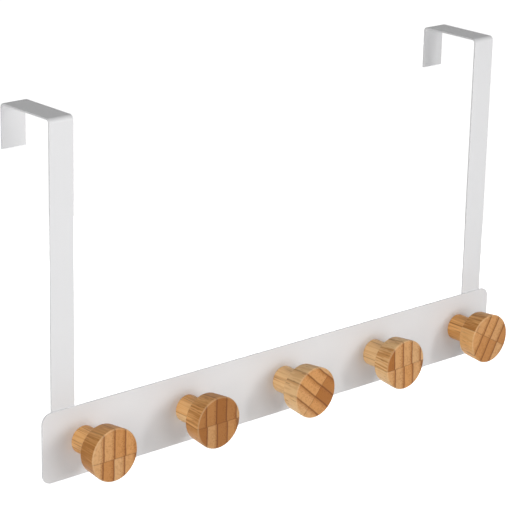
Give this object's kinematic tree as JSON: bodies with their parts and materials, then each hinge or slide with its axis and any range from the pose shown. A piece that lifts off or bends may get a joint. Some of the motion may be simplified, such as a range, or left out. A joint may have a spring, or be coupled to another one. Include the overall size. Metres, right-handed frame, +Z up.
{
  "type": "over door hook",
  "caption": "Flat white steel rail on strap hangers that hook over the top of a door, with a row of turned bamboo knobs for coats, towels and bags.",
  "frame": {"origin": "on the top edge of the door, midway between the straps and midway through the door", "axes": "+Z up, +X along the rail to the viewer's right, front with the knobs towards -Y, far side of the door towards +Y"},
  "size_m": [0.4, 0.0846, 0.235],
  "materials": {
    "white_coat": "white powder coat, satin",
    "bamboo": "laminated bamboo, fine sanded and oiled",
    "screw_steel": "bright zinc plated"
  },
  "bodies": {
    "root": {"hook_rail": "white_coat", "left_strap": "white_coat", "right_strap": "white_coat", "knob_1": "bamboo", "knob_2": "bamboo", "knob_3": "bamboo", "knob_4": "bamboo", "knob_5": "bamboo", "knob_screws": "screw_steel"}
  },
  "joints": []
}
